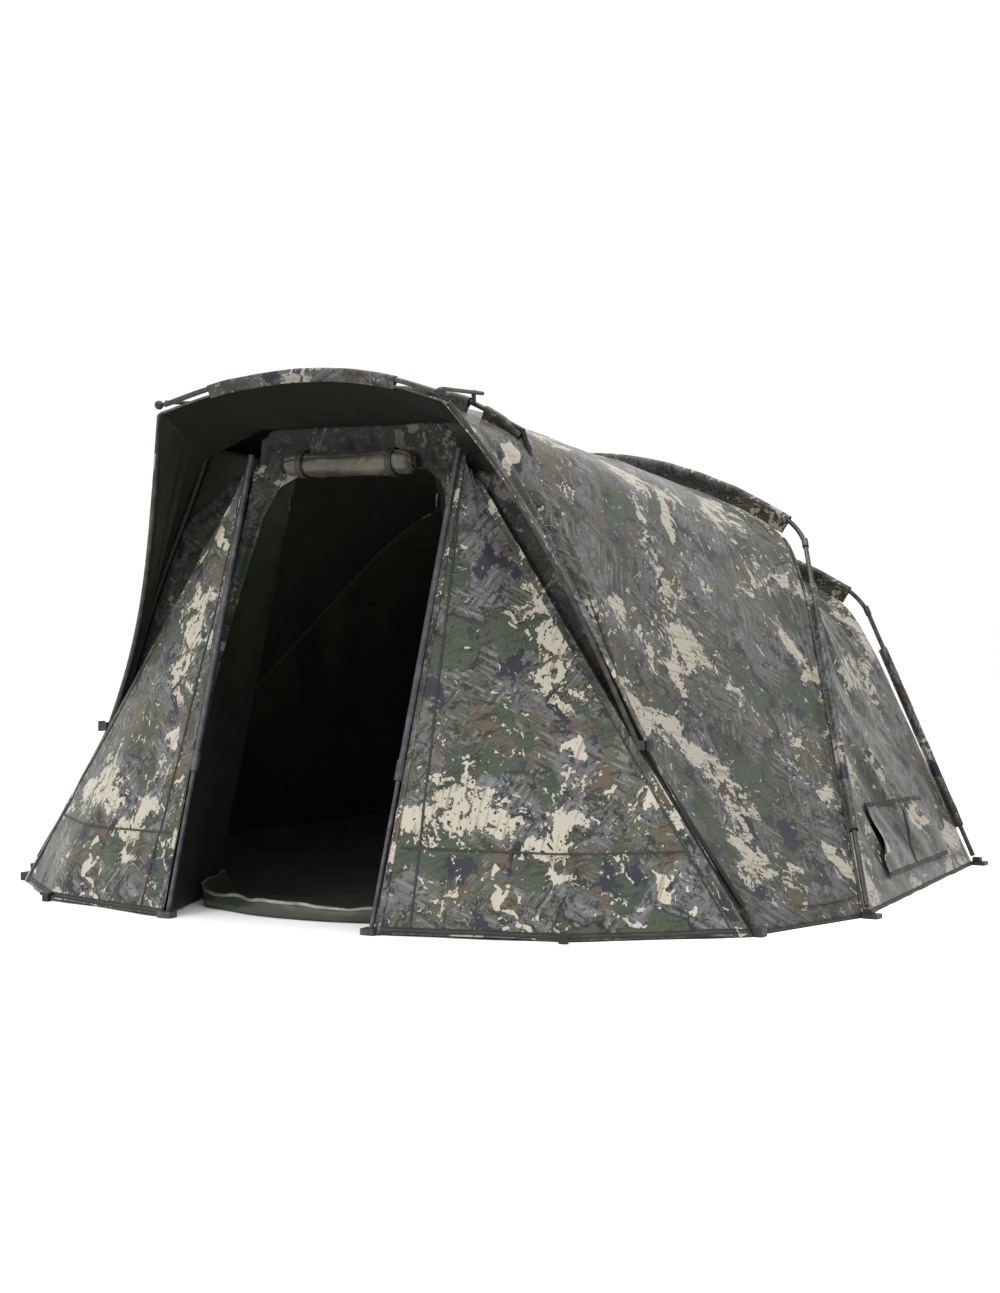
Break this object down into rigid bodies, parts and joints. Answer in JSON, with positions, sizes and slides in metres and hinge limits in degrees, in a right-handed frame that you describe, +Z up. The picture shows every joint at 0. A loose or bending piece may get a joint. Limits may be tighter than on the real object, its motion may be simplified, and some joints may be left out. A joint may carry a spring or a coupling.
{
  "type": "framed field shelter",
  "caption": "Hooped alloy-framed camouflage field shelter with a peaked hood, side wings, an open doorway with a rolled door, and a pegged rear canopy.",
  "frame": {"origin": "on the ground, midway between the hub blocks of the main rib", "axes": "+X across the shelter to the right hub as seen facing the back, the doorway faces -Y, +Y runs to the back, +Z is up"},
  "size_m": [2.946, 2.9571, 1.5997],
  "materials": {
    "camo_fabric": "woven, printed leaf camouflage, slight sheen",
    "lining": "dark olive woven lining",
    "dark_alloy": "satin dark anodised",
    "pale_alloy": "satin grey",
    "moulding": "moulded black",
    "webbing": "ribbed webbing",
    "zip_metal": "satin black",
    "groundsheet": "coated groundsheet, dark green"
  },
  "bodies": {
    "frame": {"hub_block_left": "moulding", "hub_block_right": "moulding", "main_leg_left": "dark_alloy", "main_leg_right": "dark_alloy", "main_roof_pole": "dark_alloy", "brow_bracket_left": "moulding", "brow_bracket_right": "moulding", "bar_clip_left": "moulding", "bar_clip_right": "moulding", "rear_leg_left": "dark_alloy", "rear_leg_right": "dark_alloy", "rear_elbow_left": "dark_alloy", "rear_elbow_right": "dark_alloy", "rear_roof_pole": "dark_alloy", "rear_foot_left": "moulding", "rear_foot_right": "moulding", "back_foot_left": "moulding", "back_foot_right": "moulding", "wing_left": "camo_fabric", "wing_right": "camo_fabric", "wing_peg_left": "moulding", "wing_peg_right": "moulding", "front_wall_left": "lining", "front_wall_right": "lining", "door_header": "camo_fabric", "door_roll": "camo_fabric", "roll_strap_left": "webbing", "roll_strap_right": "webbing", "hood_roof": "camo_fabric", "hood_side_left": "camo_fabric", "hood_side_right": "camo_fabric", "main_bay_roof": "camo_fabric", "main_bay_side_left": "camo_fabric", "main_bay_side_right": "camo_fabric", "rear_bay_roof": "camo_fabric", "rear_bay_side_left": "camo_fabric", "rear_bay_side_right": "camo_fabric", "back_wall": "camo_fabric", "groundsheet": "groundsheet", "door_sill": "groundsheet"},
    "brow": {"brow_leg_left": "dark_alloy", "brow_leg_right": "dark_alloy", "brow_knuckle_left": "moulding", "brow_knuckle_right": "moulding", "brow_roof_pole": "dark_alloy"},
    "back_hoop": {"back_leg_left": "dark_alloy", "back_leg_right": "dark_alloy", "back_elbow_left": "dark_alloy", "back_elbow_right": "dark_alloy", "back_roof_pole": "dark_alloy"},
    "tension_bar_left": {"tension_bar_left": "dark_alloy"},
    "tension_bar_right": {"tension_bar_right": "dark_alloy"},
    "storm_pole_left": {"storm_pole_left": "pale_alloy"},
    "storm_pole_right": {"storm_pole_right": "pale_alloy"},
    "storm_foot_left": {"storm_foot_left": "pale_alloy"},
    "storm_foot_right": {"storm_foot_right": "pale_alloy"},
    "vent_flap_left": {"vent_flap_left": "camo_fabric"},
    "vent_flap_right": {"vent_flap_right": "camo_fabric"},
    "zip_slider_left": {"zip_slider_left": "zip_metal"},
    "zip_slider_right": {"zip_slider_right": "zip_metal"}
  },
  "joints": [
    {"name": "brow_fold", "type": "hinge", "parent": "frame", "child": "brow", "pos_m": [0, -0.022, 0.505], "axis": [-1, 0, 0], "range_deg": [0, 5.4], "deforming": ["hood_roof", "hood_side_left", "hood_side_right"]},
    {"name": "back_hoop_lean", "type": "hinge", "parent": "frame", "child": "back_hoop", "pos_m": [0, 1.96, 0.012], "axis": [1, 0, 0], "range_deg": [0, 34], "deforming": ["rear_bay_roof", "rear_bay_side_left", "rear_bay_side_right", "back_wall"]},
    {"name": "tension_bar_left_turn", "type": "hinge", "parent": "brow", "child": "tension_bar_left", "pos_m": [-0.485, -0.323, 1.521], "axis": [-1, 0, 0], "range_deg": [-5.4, 0]},
    {"name": "storm_pole_left_swing", "type": "hinge", "parent": "frame", "child": "storm_pole_left", "pos_m": [-0.372, -0.034, 1.392], "axis": [-1, 0, 0], "range_deg": [0, 60]},
    {"name": "storm_foot_left_slide", "type": "slide", "parent": "storm_pole_left", "child": "storm_foot_left", "axis": [-0.0136, 0.3174, 0.9482], "range_m": [0, 0.25]},
    {"name": "vent_flap_left_lift", "type": "hinge", "parent": "frame", "child": "vent_flap_left", "pos_m": [-1.20997, 1.38898, 0.27702], "axis": [0.0977, 0.9939, -0.0502], "range_deg": [0, 95]},
    {"name": "zip_slider_left_run", "type": "slide", "parent": "frame", "child": "zip_slider_left", "axis": [-0.2408, 0, -0.9706], "range_m": [0, 1.05]},
    {"name": "tension_bar_right_turn", "type": "hinge", "parent": "brow", "child": "tension_bar_right", "pos_m": [0.485, -0.323, 1.521], "axis": [-1, 0, 0], "range_deg": [-5.4, 0]},
    {"name": "storm_pole_right_swing", "type": "hinge", "parent": "frame", "child": "storm_pole_right", "pos_m": [0.372, -0.034, 1.392], "axis": [-1, 0, 0], "range_deg": [0, 60]},
    {"name": "storm_foot_right_slide", "type": "slide", "parent": "storm_pole_right", "child": "storm_foot_right", "axis": [0.0136, 0.3174, 0.9482], "range_m": [0, 0.25]},
    {"name": "vent_flap_right_lift", "type": "hinge", "parent": "frame", "child": "vent_flap_right", "pos_m": [1.20997, 1.38898, 0.27702], "axis": [0.0977, -0.9939, 0.0502], "range_deg": [0, 95]},
    {"name": "zip_slider_right_run", "type": "slide", "parent": "frame", "child": "zip_slider_right", "axis": [0.2408, 0, -0.9706], "range_m": [0, 1.05]}
  ],
  "couplings": [
    {"joint": "tension_bar_left_turn", "follows": "brow_fold", "ratio": -1},
    {"joint": "tension_bar_right_turn", "follows": "brow_fold", "ratio": -1}
  ]
}
